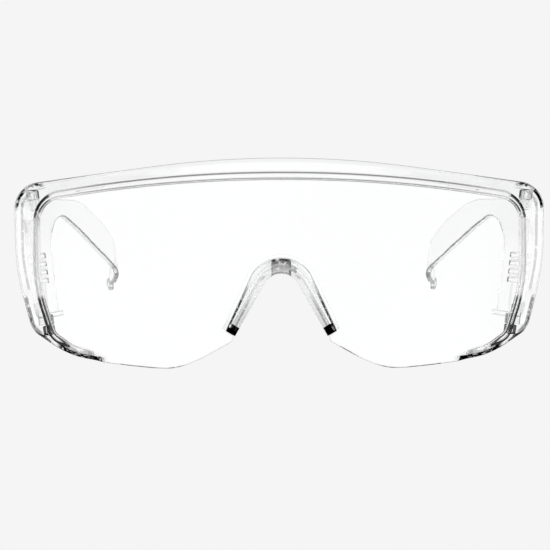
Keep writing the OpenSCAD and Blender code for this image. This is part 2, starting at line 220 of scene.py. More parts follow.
floor_material = bpy.data.materials.new("floor")
floor_material.use_nodes = True
tree = floor_material.node_tree
tree.nodes.clear()
glow = node(tree, "ShaderNodeEmission", None, {"Color": WHITE, "Strength": PALE})
node(tree, "ShaderNodeOutputMaterial", None, {"Surface": glow})

floor_bm = bmesh.new()
bmesh.ops.create_grid(floor_bm, x_segments=1, y_segments=1, size=FLOOR_SIZE)
bmesh.ops.translate(floor_bm, verts=floor_bm.verts, vec=(0, 0, -FLOOR_DROP))
floor_mesh = bpy.data.meshes.new("floor")
floor_bm.to_mesh(floor_mesh)
floor_bm.free()
floor = bpy.data.objects.new("floor", floor_mesh)
scene.collection.objects.link(floor)
floor.data.materials.append(floor_material)
print("floor ready")

# %% [markdown]
# ## Outlines
# Every piece here is a thin wall cut to an outline. An outline is a short list of corners,
# each with a radius. `rounded` turns it into points, so that the edge of the plastic runs
# smoothly, and `spaced` adds points along straight stretches. A curve object could round the
# corners too, but here two outlines have to keep the same number of points.

# %% Rounded outlines
ARC_STEPS = 16
STEP = 1.0


def arc(before, at, after, radius):
    """Points of the arc that rounds one corner."""
    back, on = (before - at).normalized(), (after - at).normalized()
    half = back.angle(on) / 2
    middle = at + (back + on).normalized() * radius / math.sin(half)
    start = at + back * radius / math.tan(half) - middle
    turn = math.copysign(math.pi - 2 * half, back.cross(on))
    turns = [turn * k / ARC_STEPS for k in range(ARC_STEPS + 1)]
    return [middle + Matrix.Rotation(-part, 2) @ start for part in turns]


def rounded(corners):
    """Points along a line of corners (x, y) or (x, y, radius)."""
    flat = [Vector(c[:2]) for c in corners]
    points = [flat[0]]
    for k in range(1, len(corners) - 1):
        if len(corners[k]) > 2:
            points += arc(flat[k - 1], flat[k], flat[k + 1], corners[k][2])
        else:
            points.append(flat[k])
    return points + [flat[-1]]


def spaced(*lines):
    """Lines of as many points each, filled up alike so that no stretch is longer than a step."""
    filled = [[line[0]] for line in lines]
    for k in range(1, len(lines[0])):
        longest = max((line[k] - line[k - 1]).length for line in lines)
        count = max(1, math.ceil(longest / STEP))
        for line, out in zip(lines, filled):
            out += [line[k - 1].lerp(line[k], i / count) for i in range(1, count + 1)]
    return filled if len(lines) > 1 else filled[0]


# %% Directions and gentle rises
def headings(line):
    """The direction of a line at each of its points."""
    pairs = zip(line[:1] + line[:-1], line[1:] + line[-1:])
    return [(after - before).normalized() for before, after in pairs]


def smooth(t):
    """A gentle rise from 0 to 1."""
    t = min(1.0, max(0.0, t))
    return t * t * (3 - 2 * t)


def on_face(flat, back):
    """The place that lies back from the lens's front, at a place seen from the front."""
    return Vector((flat.x, face_y(flat.x) + back, flat.y))


def mirrored(stations):
    """The same sections on the left side."""
    return [[Vector((-p.x, p.y, p.z)) for p in station] for station in stations]


# %% [markdown]
# ## Edges
# Moulded plastic has no sharp edges. A fillet is made by its tangent length: it leaves a
# corner's two sides at the same distance and follows a true circle between, however much or
# little the corner turns. That lets one section fade from a flat edge into a turned-back rim,
# which a bevel on the finished mesh couldn't do without tearing at the change.

# %% Fillets
FILLET_STEPS = 4
PER_CORNER = FILLET_STEPS + 1


def fillet(before, at, after, reach):
    """Points of a circular fillet that leaves a corner's sides at a distance of reach."""
    back, on = (before - at).normalized(), (after - at).normalized()
    start, end = at + back * reach, at + on * reach
    weight = math.sin(back.angle(on, math.pi) / 2)
    points = []
    for k in range(PER_CORNER):
        t = k / FILLET_STEPS
        a, b, c = (1 - t) ** 2, 2 * weight * t * (1 - t), t * t
        points.append((start * a + at * b + end * c) / (a + b + c))
    return points


def filleted(corners, closed=False):
    """A section's points, with a fillet at each corner (x, y, reach)."""
    flat = [Vector(c[:2]) for c in corners]
    count = len(corners)
    inner = range(count) if closed else range(1, count - 1)
    return [point for k in inner
            for point in fillet(flat[k - 1], flat[k], flat[(k + 1) % count], corners[k][2])]


# %% [markdown]
# ## Skins, plates and strips
# `skin` draws one ring of edges and extrudes it through the rings that follow. Each vertex
# carries its station number, which the extrusion copies, so it knows where it belongs in the
# next ring. Bridging loops would guess those pairs anew each time. `plate` uses it for a flat
# wall with rounded edges round any outline, with holes where it has inner outlines. Planes
# then cut the wide faces into strips that can bend.

# %% Skins
NEAR = 1e-4
STRIP = 1.5


def skin(bm, rings):
    """Draws the first ring and extrudes it through the others. Returns both end loops."""
    station = bm.verts.layers.int.get("station") or bm.verts.layers.int.new("station")
    verts = []
    for k, point in enumerate(rings[0]):
        verts.append(bm.verts.new(point))
        verts[-1][station] = k
    first = edges = [bm.edges.new(pair) for pair in zip(verts, verts[1:] + verts[:1])]
    for ring in rings[1:]:
        made = bmesh.ops.extrude_edge_only(bm, edges=edges)["geom"]
        fresh = {item for item in made if isinstance(item, bmesh.types.BMVert)}
        for vert in fresh:
            vert.co = ring[vert[station]]
        edges = [item for item in made if isinstance(item, bmesh.types.BMEdge)
                 and fresh.issuperset(item.verts)]
    return first, edges


def cut_in_strips(bm, made, loop, places):
    """Cuts the new faces inside a loop of edges across, at each place along X."""
    verts = [vert for edge in loop for vert in edge.verts]
    geom = list(dict.fromkeys([*made, *loop, *verts]))
    for at in places:
        geom = bmesh.ops.bisect_plane(bm, geom=geom, dist=NEAR, plane_co=(at, 0, 0),
                                      plane_no=(1, 0, 0))["geom"]


# %% Plates
SHARPEST = 0.5


def area(outline):
    """Signed area of a closed outline, positive when it runs counterclockwise."""
    return sum(a.cross(b) for a, b in zip(outline, outline[1:] + outline[:1])) / 2


def set_in(outline, by):
    """A closed outline moved into the material, which lies on its left."""
    moved = []
    for k, at in enumerate(outline):
        back = (at - outline[k - 1]).normalized()
        on = (outline[(k + 1) % len(outline)] - at).normalized()
        left = Vector((-back.y - on.y, back.x + on.x)).normalized()
        moved.append(at + left * by / max(SHARPEST, left.dot(Vector((-back.y, back.x)))))
    return moved


def plate(outer, low, high, edge, holes=(), strips=()):
    """A flat wall from low to high with rounded edges, its wide faces cut across at strips."""
    bm = bmesh.new()
    turns = [math.pi / 2 * k / FILLET_STEPS for k in range(PER_CORNER)]
    steps = [(edge * (1 - math.sin(a)), edge * (1 - math.cos(a))) for a in turns]
    ends = [[], []]
    for index, outline in enumerate((outer, *holes)):
        if (area(outline) > 0) == (index > 0):
            outline = outline[::-1]
        lower = [[(*p, low + up) for p in set_in(outline, by)] for by, up in steps]
        upper = [[(*p, high - up) for p in set_in(outline, by)] for by, up in steps[::-1]]
        for end, loop in zip(ends, skin(bm, lower + upper)):
            end += loop
    for loop in ends:
        made = bmesh.ops.triangle_fill(bm, use_beauty=True, edges=loop)["geom"]
        cut_in_strips(bm, made, loop, strips)
    return bm


# %% [markdown]
# ## Joining and finishing
# A lug and the rim it grows from are one moulding, so their solids are united: clear plastic
# would show every inner wall left between them. The lobes stand on small flats, so any point
# that would lie below the table is set on it. Weighted normals then keep the wide faces
# optically even, and leave the bending of light to the fillets.
#
# Each face also gets two weights, "edge" and "shade", from a rule that knows the piece. They
# are painted shade: they say where the plastic is drawn dark, in place of the darkness that
# clear plastic gets from what it bends and traps, and the material reads them. They belong to
# the mesh, so the painted dark lines stay in their places whichever side the glasses are seen
# from.

# %% Joining
def as_object(bm, name, place=Matrix.Identity(4)):
    """A bmesh as an object in the worn frame, with its faces turned outward."""
    bmesh.ops.transform(bm, matrix=place, verts=bm.verts)
    bmesh.ops.remove_doubles(bm, verts=bm.verts, dist=NEAR)
    bmesh.ops.recalc_face_normals(bm, faces=bm.faces)
    mesh = bpy.data.meshes.new(name)
    bm.to_mesh(mesh)
    bm.free()
    obj = bpy.data.objects.new(name, mesh)
    bpy.context.scene.collection.objects.link(obj)
    return obj


def combined(base, operation, *others):
    """base with the other objects united to it or cut from it. The others are used up."""
    for other in others:
        change = base.modifiers.new(operation, "BOOLEAN")
        change.operation, change.solver, change.object = operation, "MANIFOLD", other
    shaped = base.evaluated_get(bpy.context.evaluated_depsgraph_get())
    mesh = bpy.data.meshes.new_from_object(shaped)
    base.modifiers.clear()
    base.data = mesh
    for other in others:
        bpy.data.objects.remove(other)
    return base


# %% Finishing
EVEN_ANGLE = math.radians(32)
FILLET_ANGLE = math.radians(5)
NEAR_METRES = 2e-7
TABLE_Z = 0.0


def mark_painted_shade(bm, shade_rule):
    """Gives every face its painted shade: edge on fillets only, shade wherever the rule says."""
    painted_edge_weight = bm.faces.layers.float.new("edge")
    painted_shade_weight = bm.faces.layers.float.new("shade")
    for face in bm.faces:
        turned = sum(side.calc_face_angle(0) > FILLET_ANGLE for side in face.edges)
        lines, dark = shade_rule(face.calc_center_median(), face.normal)
        face[painted_edge_weight] = lines if turned > 1 else 0.0
        face[painted_shade_weight] = dark


def finished(obj, body, node_name, material, shade_rule, mirror=False):
    """Puts a piece in its place in the frame, under its body, and hides the imported part of
    that name.
    """
    bm = bmesh.new()
    bm.from_mesh(obj.data)
    mark_painted_shade(bm, shade_rule)
    flip = Matrix.Scale(-1, 4, (1, 0, 0)) if mirror else Matrix.Identity(4)
    bmesh.ops.transform(bm, matrix=flip @ WORN, verts=bm.verts)
    if mirror:
        bmesh.ops.reverse_faces(bm, faces=bm.faces)
    for vert in bm.verts:
        vert.co.z = max(vert.co.z, TABLE_Z)
    for face in bm.faces:
        face.smooth = True
    bmesh.ops.remove_doubles(bm, verts=bm.verts, dist=NEAR_METRES)
    loose = sum(not edge.is_manifold for edge in bm.edges)
    bm.to_mesh(obj.data)
    bm.free()
    obj.data.set_sharp_from_angle(angle=EVEN_ANGLE)
    even = obj.modifiers.new("even_normals", "WEIGHTED_NORMAL")
    even.mode, even.keep_sharp = "FACE_AREA", True
    obj.data.materials.clear()
    obj.data.materials.append(material)
    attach(obj, body)
    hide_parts(node_name)
    print(f"{obj.name}: {len(obj.data.polygons)} faces, {loose} edges not closed")
    return obj


# %% [markdown]
# ## Clear plastic
# All the pieces are clear polycarbonate or a plastic like it, with a refractive index near
# 1.58. The finish isn't perfect glass: the moulded surface is a little wavy, and its gloss
# varies slightly. The waves are millimetres long and microns high, so they only stir the
# reflections.
#
# Light that meets the inside of a wall too flatly is trapped there. A wide wall should look
# clear all the same, so part of that light is let straight through. Where a face has weight,
# the light is lost instead, and the plastic shows black, as real fillets do against a dark
# surround. That black is painted shade, mixed in by the faces' weights, and the shade weight
# paints it also where a face is seen from outside. Small flecks break up the painted shade.

# %% Clear plastic material
# Facing is 1 minus the cosine of the angle. TRAPPED_FROM is its value at the critical angle.
IOR = 1.58
TRAPPED_FROM = 1 - math.sqrt(1 - 1 / IOR ** 2)
TRAPPED_BLUR = 0.03
LEAK = 0.6
GRAZING = (0.4, 0.85)
SHADE_FLECK_MM = 1.3
SHADE_FLECK_EDGE = (0.25, 0.5)
HAZE_SPREAD = 4
HAZE_TINT = 0.97


def noise(tree, place, size_mm, detail):
    """Noise with spots of about one size."""
    return node(tree, "ShaderNodeTexNoise", None,
                {"Vector": place, "Scale": 1 / (size_mm * MM), "Detail": detail})


def colour_mix(tree, share, first, second):
    """A colour that goes from the first to the second as a share goes from 0 to 1."""
    return node(tree, "ShaderNodeMix", {"data_type": "RGBA"},
                {"Factor": share, "A": first, "B": second}, output="Result")


def painted_shade_share(tree, place, trapped, facing, within):
    """How much painted black shade is mixed in, from the weights that each face carries."""
    edge = node(tree, "ShaderNodeAttribute", {"attribute_name": "edge"}, output="Fac")
    shade = node(tree, "ShaderNodeAttribute", {"attribute_name": "shade"}, output="Fac")
    outline = (1 - within) * facing.ramp(*GRAZING)
    shade_flecks = noise(tree, place, SHADE_FLECK_MM, detail=2.0).ramp(*SHADE_FLECK_EDGE)
    return edge * outline + (edge + shade) * trapped + shade * shade_flecks * (1 - within)


# %% [markdown]
# The foot of each side shield looks clearer than the arm. The temples' tint fades towards it,
# by place on the piece, over a short stretch under the root of the arm.

# %% Plastics of the pieces
FOOT_LOW = Vector((0, 46, 33))
FOOT_HIGH = Vector((0, 60, 46))


def clear_foot(tree, place, foot_colour, colour):
    """The temples' colour, which fades to a clearer one at the foot of the shield."""
    depth, height = node(tree, "ShaderNodeSeparateXYZ", None, {"Vector": place}, ("Y", "Z"))
    low, high = WORN @ FOOT_LOW, WORN @ FOOT_HIGH
    arm = 1 - (1 - height.ramp(low.z, high.z)) * (1 - depth.ramp(low.y, high.y))
    return colour_mix(tree, arm, (*foot_colour, 1), colour)


def clear_plastic(name, colour, roughness, wave_mm, wave_height, foot_colour=None):
    """Clear moulded plastic with a slightly wavy surface and uneven gloss."""
    material = bpy.data.materials.new(name)
    material.use_nodes = True
    tree = material.node_tree
    tree.nodes.clear()
    place = node(tree, "ShaderNodeTexCoord", output="Object")
    haze = noise(tree, place, HAZE_SPREAD * wave_mm, detail=3.0)
    tint = colour_mix(tree, haze, (*colour, 1), (*(HAZE_TINT * c for c in colour), 1))
    if foot_colour:
        tint = clear_foot(tree, place, foot_colour, tint)
    waves = noise(tree, place, wave_mm, detail=1.0)
    bump = node(tree, "ShaderNodeBump", None,
                {"Height": waves, "Strength": 1.0, "Distance": wave_height * MM})
    plastic = node(tree, "ShaderNodeBsdfPrincipled", None, {
        "Base Color": tint, "Roughness": haze * roughness, "Normal": bump,
        "Transmission Weight": 1.0, "IOR": IOR})
    facing = node(tree, "ShaderNodeLayerWeight", None, {"Blend": 0.5}, "Facing")
    within = node(tree, "ShaderNodeNewGeometry", output="Backfacing")
    trapped = within * facing.ramp(TRAPPED_FROM - TRAPPED_BLUR, TRAPPED_FROM + TRAPPED_BLUR)
    freed = node(tree, "ShaderNodeBsdfTransparent", None, {"Color": WHITE})
    bright = node(tree, "ShaderNodeMixShader", None,
                  {"Fac": trapped * LEAK, 1: plastic, 2: freed})
    # Painted shade: this black shader is mixed in by the faces' edge and shade weights.
    painted_black = node(tree, "ShaderNodeBsdfDiffuse", None, {"Color": BLACK})
    dark = painted_shade_share(tree, place, trapped, facing, within)
    mixed = node(tree, "ShaderNodeMixShader", None, {"Fac": dark, 1: bright, 2: painted_black})
    node(tree, "ShaderNodeOutputMaterial", None, {"Surface": mixed})
    return material


LENS_PLASTIC = clear_plastic("clear_lens", (0.995, 1.0, 1.0), roughness=0.01,
                             wave_mm=14.0, wave_height=0.0008)
BRIDGE_PLASTIC = clear_plastic("clear_bridge", (0.99, 0.995, 1.0), roughness=0.03,
                               wave_mm=6.0, wave_height=0.002)
TEMPLE_PLASTIC = clear_plastic("clear_temple", (0.92, 0.92, 0.92), roughness=0.04,
                               wave_mm=9.0, wave_height=0.003, foot_colour=(0.99, 0.99, 0.99))
PIN_PLASTIC = clear_plastic("clear_pin", (0.97, 0.98, 0.99), roughness=0.06,
                            wave_mm=2.0, wave_height=0.002)
print("materials:", [m.name for m in bpy.data.materials])

# %% [markdown]
# ## The lens
# The lens is one injection moulding. Its rim steps back from a bend line and turns out as a
# flange: up at the brow and outward at the sides. It runs out into the plain lower edge. The
# bend line and the flange's edge are two outlines, matched corner by corner, and from side to
# side along the brow. They are drawn for the right half, from the end of the rim to the
# middle of the brow. A bent sheet given a thickness would be quicker, but its edges would be
# sharp and its rim as thick as its face, and clear plastic shows both.

# %% The rim's outlines
RIM_END = 51.0
RIM_END_BEND = 3.3
RIM_END_LOW = 1.5
BROW_FLARE = 4.3
SIDE_FLARE = 6.3

RIM_SIDE = HALF_W + SIDE_FLARE
RIM_TOP = FACE_H + BROW_FLARE

# Corners (x, z, radius): the end of the rim, two lower corners, the side, the upper corner
# and the brow.
bend_points = rounded([
    (RIM_END, RIM_END_BEND), (HALF_W - 11.8, 4.6, 20), (HALF_W - 5.1, 8.4, 6),
    (HALF_W + 0.1, 24, 50),
    (HALF_W, FACE_H - 6.2, 9),
    (32, FACE_H, 420), (0, FACE_H)])
rear_points = rounded([
    (RIM_END, RIM_END_LOW), (HALF_W - 10.9, 2.45, 24), (RIM_SIDE - 5.4, 11, 8),
    (RIM_SIDE - 0.4, 29.5, 60),
    (RIM_SIDE, RIM_TOP - 7.6, 8),
    (19, RIM_TOP, 300), (0, RIM_TOP)])

SIDE_CORNERS = 4
BROW_START = SIDE_CORNERS * (ARC_STEPS + 1)


def matched(x):
    """The point of the flange's edge along the brow at one x."""
    for a, b in zip(rear_points[BROW_START:], rear_points[BROW_START + 1:]):
        if x >= b.x:
            break
    return a.lerp(b, (a.x - x) / (a.x - b.x))


def bend_height(x):
    """Height of the lower stretch of the bend line at one x."""
    for a, b in zip(bend_points, bend_points[1:]):
        if x <= b.x:
            break
    return a.y + (b.y - a.y) * (x - a.x) / (b.x - a.x)


widen = rear_points[BROW_START].x / bend_points[BROW_START].x
rear_points[BROW_START + 1:] = [matched(p.x * widen) for p in bend_points[BROW_START + 1:]]
bend_line, rear_edge = spaced(bend_points, rear_points)
print(len(bend_line), "points of rim")

# %% [markdown]
# The plain edge starts at the top of the nose opening. It leaves room for the bridge's face
# down to the foot of the opening, and then follows the lobe to the end of the rim. The nose
# opening's own half outline is kept, because the bridge is swept along it later.

# %% The nose opening and the plain edge
LOBE_X = 31.1
LOBE_LOW = -0.49
NOSE_TOP = 27.5
NOSE_R = 5.3
NOSE_ANGLE = math.radians(29.7)
NOSE_FOOT = 9.4
BRIDGE_TOP_W = 4.6
BRIDGE_FOOT_W = 3.1
BRIDGE_GAP = 0.06
FOOT_SET = 0.6
FOOT_CORNER = Vector((0.95, -1.6))

NOSE_MID = Vector((0, NOSE_TOP - NOSE_R))
nose_side = Vector((math.cos(NOSE_ANGLE), math.sin(NOSE_ANGLE)))
nose_down = Vector((math.sin(NOSE_ANGLE), -math.cos(NOSE_ANGLE)))
leg_start = NOSE_MID + nose_side * NOSE_R
LEG_LEN = (leg_start.y - NOSE_FOOT) / math.cos(NOSE_ANGLE)
LEG_STEPS = 20
nose_half = []
for k in range(ARC_STEPS + 1):
    a = math.pi / 2 + (NOSE_ANGLE - math.pi / 2) * k / ARC_STEPS
    out = Vector((math.cos(a), math.sin(a)))
    nose_half.append((NOSE_MID + out * NOSE_R, out, BRIDGE_TOP_W))
for k in range(1, LEG_STEPS + 1):
    width = BRIDGE_TOP_W + (BRIDGE_FOOT_W - BRIDGE_TOP_W) * k / LEG_STEPS
    nose_half.append((leg_start + nose_down * (LEG_LEN * k / LEG_STEPS), nose_side, width))

# Corners (x, z, radius): round the bridge's foot, then the lobe, and so to the rim.
nose_cut = [at + out * (width + BRIDGE_GAP) for at, out, width in nose_half]
foot = nose_half[-1][0]
plain_edge = nose_cut + spaced(rounded([
    nose_cut[-1], foot + nose_down * BRIDGE_GAP + nose_side * FOOT_SET,
    foot + FOOT_CORNER,
    (LOBE_X - 8.1, 3.0, 18), (LOBE_X, LOBE_LOW, 21),
    ((LOBE_X + RIM_END) / 2 + 3, 0.7), (RIM_END, RIM_END_LOW)]))[1:]
print(len(plain_edge), "points of plain edge")

# %% [markdown]
# The section runs from the front of the face, round the edge, to the back of the face. The
# rim steps straight back and then turns out as a flange. That makes six corners, and a
# seventh lies in line on the flange's front, only to give the painted shade line there its
# own faces.
# The plain edge has two corners: the other five shrink to points there. Every section so has
# the same number of points, and one skin can run through them all.

# %% The lens's sections
LENS_WALL = 2.2
RIM_WALL = 1.9
BEND_REACH = 1.0
STEP_REACH = 0.6
LINE_REACH = 0.4
FRONT_REACH = 1.3
REAR_REACH = 0.45
HEEL_REACH = 0.7
SEAT_REACH = 0.6
EDGE_REACH = 0.45
LINE_IN = 2.4
RIM_RISE = 9.0
RIM_TURN = 8.0
SECTION_IN = 9.0
FILLET_SHARE = 0.95
THIN_BACK = 1.0


def rim_section(flare, back, turn):
    """Corners of the rim's section: slanted where the rim starts, then more and more stepped."""
    wall = Vector((-back, flare)).normalized() * RIM_WALL
    seat = min(0, wall.x + (LENS_WALL - wall.y) * flare / back) if back > THIN_BACK else 0
    heel = Vector((flare, back)) + wall
    slanted = [(0, 0), (flare / 2, back / 2), (flare * 0.75, back * 0.75), (flare, back), heel,
               ((heel.x + seat) / 2, (heel.y + LENS_WALL) / 2), (seat, LENS_WALL)]
    step = RIM_DEPTH - RIM_WALL
    stepped = [(0, 0), (0, step), (max(flare / 2, flare - LINE_IN), step), (flare, step),
               (flare, RIM_DEPTH), (-RIM_WALL, RIM_DEPTH), (-RIM_WALL, LENS_WALL)]
    return [Vector(p).lerp(Vector(q), turn) for p, q in zip(slanted, stepped)]


def with_room(corners, reaches):
    """The corners with their fillets, made smaller where two of them would meet."""
    spare = [1.0]
    for k, (p, q) in enumerate(zip(corners, corners[1:])):
        spare.append(min(1.0, FILLET_SHARE * (q - p).length / (reaches[k] + reaches[k + 1])))
    spare.append(1.0)
    return [(*p, reach * min(pair))
            for p, reach, pair in zip(corners, reaches, zip(spare, spare[1:]))]


# %% [markdown]
# A station is one section set on the lens. On the rim, the flange's side of the section is
# stretched from the bend line to the flange's own outline, and keeps the depth of the face at
# the bend. The wall behind the bend follows the cylinder, as the rest of the face does. The
# two middle stations, at the nose and at the brow, lie in the mirror plane.

# %% The lens's stations
def rim_station(k):
    """Points of the rim's section at one point of the bend line."""
    at, rear = bend_line[k], rear_edge[k]
    way = Vector((-1, 0)) if k == len(bend_line) - 1 else bend_ways[k]
    out = Vector((way.y, -way.x))
    flare = (rear - at).dot(out)
    far = (at - bend_line[0]).length
    back = RIM_DEPTH * smooth(far / RIM_RISE)
    front = EDGE_REACH + (FRONT_REACH - EDGE_REACH) * back / RIM_DEPTH
    corners = with_room(
        rim_section(flare, back, smooth((far - RIM_RISE) / RIM_TURN)),
        [BEND_REACH, STEP_REACH, LINE_REACH, front, REAR_REACH, HEEL_REACH, SEAT_REACH])
    corners = [(-SECTION_IN, 0), *corners, (corners[-1][0] - SECTION_IN, LENS_WALL)]
    points = []
    for q in filleted(corners):
        flat = at + out * q.x if q.x <= 0 else at + (rear - at) * q.x / flare
        points.append(Vector((flat.x, face_y(at.x if q.x > 0 else flat.x) + q.y, flat.y)))
    return points


def edge_station(at, out):
    """Points of the plain edge's section, with the rim's five other corners as points."""
    bend = [Vector((-EDGE_REACH, 0))] * (3 * PER_CORNER)
    seat = [Vector((-EDGE_REACH, LENS_WALL))] * (2 * PER_CORNER)
    edge = filleted([(-SECTION_IN, 0), (0, 0, EDGE_REACH), (0, LENS_WALL, EDGE_REACH),
                     (-SECTION_IN, LENS_WALL)])
    return [on_face(at + out * q.x, q.y) for q in bend + edge + seat]


bend_ways = headings(bend_line)
half = [edge_station(at, Vector((way.y, -way.x)))
        for at, way in zip(plain_edge, headings(plain_edge))]
half[0] = edge_station(plain_edge[0], Vector((0, -1)))
half += [rim_station(k) for k in range(len(bend_line))]
stations = half + mirrored(half[-2:0:-1])
print(len(stations), "stations of", len(stations[0]), "points")

# %% [markdown]
# Each ring of the skin takes the same point of every station, so it runs once round the whole
# lens. The first and last rings bound the front and the back of the face. They are filled
# and cut into upright strips, which lie on the cylinder as the real face does.

# %% The shell of the lens
FACE_STRIPS = int(HALF_W / STRIP)

lens_bm = bmesh.new()
for loop in skin(lens_bm, list(zip(*stations))):
    made = bmesh.ops.edgeloop_fill(lens_bm, edges=loop)["faces"]
    cut_in_strips(lens_bm, made, loop,
                  [STRIP * k for k in range(-FACE_STRIPS, FACE_STRIPS + 1)])
lens = as_object(lens_bm, "lens_moulding")
print("lens shell:", len(lens.data.polygons), "faces")

# %% [markdown]
# The hinge lugs stand on the rim's rear edge. Each is a barrel with a foot that runs forward
# into the rim, and their bores take the pins. They are made upright at the origin, moved to
# the hinge line, and united with the shell, and then the bores are cut through.

# %% Lugs and bores
LUG_H = 3.0
LUG_GAP = 0.2
BARREL_R = 1.7
LUG_SPAN = (HINGE_TOP - HINGE_FOOT) / math.cos(HINGE_LEAN)
BORE_SPARE = 0.3
BORE_SPAN = 2 * (2 * LUG_H + LUG_GAP + BORE_SPARE)
LUG_BORE_R = 0.93
BORE_EDGE = 0.05
UPPER_FOOT = 4.0
LOWER_FOOT = 6.0
SMALL_EDGE = 0.3
ROUND_STEPS = 32


def round_points(radius, turn=math.tau, steps=ROUND_STEPS):
    """Points of a circle, or of the part of one that a turn covers."""
    return [Matrix.Rotation(turn * k / steps, 2) @ Vector((radius, 0)) for k in range(steps)]


def lug(z, foot_len):
    """A barrel with a foot that runs forward into the rim."""
    outline = round_points(BARREL_R, math.pi, ROUND_STEPS // 2)
    outline += [Matrix.Rotation(math.pi, 2) @ Vector((BARREL_R, 0))]
    outline += [Vector((-BARREL_R, -foot_len)), Vector((BARREL_R, -foot_len))]
    return as_object(plate(outline, z, z + LUG_H, SMALL_EDGE), "lug", ON_HINGE)


def bores(radius):
    """The two runs of the hinge bore, as solids to cut with."""
    made = []
    for z in (LUG_SPAN / 2, -LUG_SPAN / 2):
        bore = plate(round_points(radius), z - BORE_SPAN / 2, z + BORE_SPAN / 2, BORE_EDGE)
        made.append(as_object(bore, "bore", ON_HINGE))
    return made


def mirror_of(obj):
    """A mirror image of an object, on the left side."""
    bm = bmesh.new()
    bm.from_mesh(obj.data)
    return as_object(bm, obj.name, Matrix.Scale(-1, 4, (1, 0, 0)))


right_lugs = [lug(LUG_SPAN / 2 - LUG_H, UPPER_FOOT), lug(-LUG_SPAN / 2, LOWER_FOOT)]
combined(lens, "UNION", *right_lugs, *[mirror_of(part) for part in right_lugs[::-1]])
right_bores = bores(LUG_BORE_R)
combined(lens, "DIFFERENCE", *right_bores, *[mirror_of(bore) for bore in right_bores])
print("lens with lugs:", len(lens.data.polygons), "faces")

# %% [markdown]
# ## Painted shade on the lens
# The plain edge is a thin dark line from the lobes' lowest points outward, and in one short
# stretch by the nose. Elsewhere it is faint. The rim's lines are faint down the sides, grey
# along the brow, and black where they turn: round the upper corners, and from the lower
# barrels down to the end of the rim. All of this is painted shade, in place of what the clear
# plastic bends and traps there. These rules are written as distances from the outlines and
# angles round the corner, in millimetres and degrees. They could be painted by hand instead,
# but a rule stays right when the outlines change.

# %% Measures on the lens
CORNER = Vector((65, 45))


def rise(value, start, end):
    """0 at start and 1 at end, gentle between. It falls where the end comes before the start."""
    return smooth((value - start) / (end - start))


def band(value, start, full, fall, end):
    """0 up to start, 1 from full to fall, and 0 again from end."""
    return rise(value, start, full) * rise(value, end, fall)


def away(at, line):
    """Distance of a place from a line, seen from the front."""
    flat, least = Vector((abs(at.x), at.z)), math.inf
    for a, b in zip(line, line[1:]):
        t = min(1.0, max(0.0, (flat - a).dot(b - a) / (b - a).length_squared))
        least = min(least, (flat - a.lerp(b, t)).length)
    return least


def corner_angle(at):
    """Direction of a place from the middle of the upper corner, in degrees from level."""
    return math.degrees(math.atan2(at.z - CORNER.y, abs(at.x) - CORNER.x))


# %% Painted shade of the plain edge and the lower rim
# Pairs are the start and end of a rise, or two limits, and sets of four belong to a band.
PLAIN_END = RIM_END - 4
MID_HEIGHT = 40.0
PLAIN_LINE = 0.35
PLAIN_SHADE = 0.7
LOBE_DARK = (27, 31)
NOSE_DARK = (17.5, 22.5)
FACES_DOWN = -0.3
WEDGE_BAND = (RIM_END + 0.5, RIM_END + 2, 65, 67)
WEDGE_EDGE = 0.4


def plain_edge_painted_shade(at, normal):
    """Painted shade: dark outside the lobes and in one place by the nose, faint elsewhere."""
    deep = max(rise(abs(at.x), *LOBE_DARK), NOSE_DARK[0] < at.x < NOSE_DARK[1])
    lines = PLAIN_LINE + (1 - PLAIN_LINE) * deep
    return lines, PLAIN_SHADE * deep * (normal.z < FACES_DOWN)


def lower_rim_shade(at):
    """Painted shade in the wedge between the bend line and the flange, where the rim runs out.
    """
    side = abs(at.x)
    return band(side, *WEDGE_BAND) * rise(bend_height(side) - at.z, 0, WEDGE_EDGE)


# %% Painted shade of the flange and the bend
# The bands and FRONT_LINE are distances from an outline, FLANGE_GAP and BEND_TURN are degrees
# round the corner, FLANGE_FOOT is a distance from the middle of the glasses, and the other
# two pairs are heights.
FLANGE_BAND = (0.3, 0.5, 1.2, 1.5)
FLANGE_GAP = (32, 35, 42, 45)
FLANGE_FOOT = (70, 72)
FLANGE_FOOT_SHADE = 0.65
FRONT_LINE = (1.9, 2.9)
FRONT_LINE_LOW = (21.5, 23.5)
FRONT_LINE_SHADE = 0.32
BEND_BAND = (1.25, 1.05)
BEND_TURN = (-9, -3, 58, 64)
BEND_TURN_SHADE = 0.85
BEND_SIDE_TOP = (52, 49)
BEND_SIDE_SHADE = 0.18
BEND_LOW_SHADE = 0.45


def flange_shade(at, low, high):
    """Painted shade behind the flange's edge: round the upper corner, with a gap, and at its
    foot.
    """
    far = away(at, rear_edge)
    round_corner = high * (1 - band(corner_angle(at), *FLANGE_GAP))
    at_foot = FLANGE_FOOT_SHADE * low * rise(abs(at.x), *FLANGE_FOOT)
    line = FRONT_LINE[0] < far < FRONT_LINE[1]
    return max(band(far, *FLANGE_BAND) * max(round_corner, at_foot),
               FRONT_LINE_SHADE * line * rise(at.z, *FRONT_LINE_LOW))


def bend_shade(at, low):
    """Painted shade on the bend: faint down the side, dark round the upper corner and its foot.
    """
    turn = band(corner_angle(at), *BEND_TURN)
    return rise(away(at, bend_line), *BEND_BAND) * max(
        BEND_SIDE_SHADE * rise(at.z, *BEND_SIDE_TOP), BEND_TURN_SHADE * turn,
        BEND_LOW_SHADE * low)


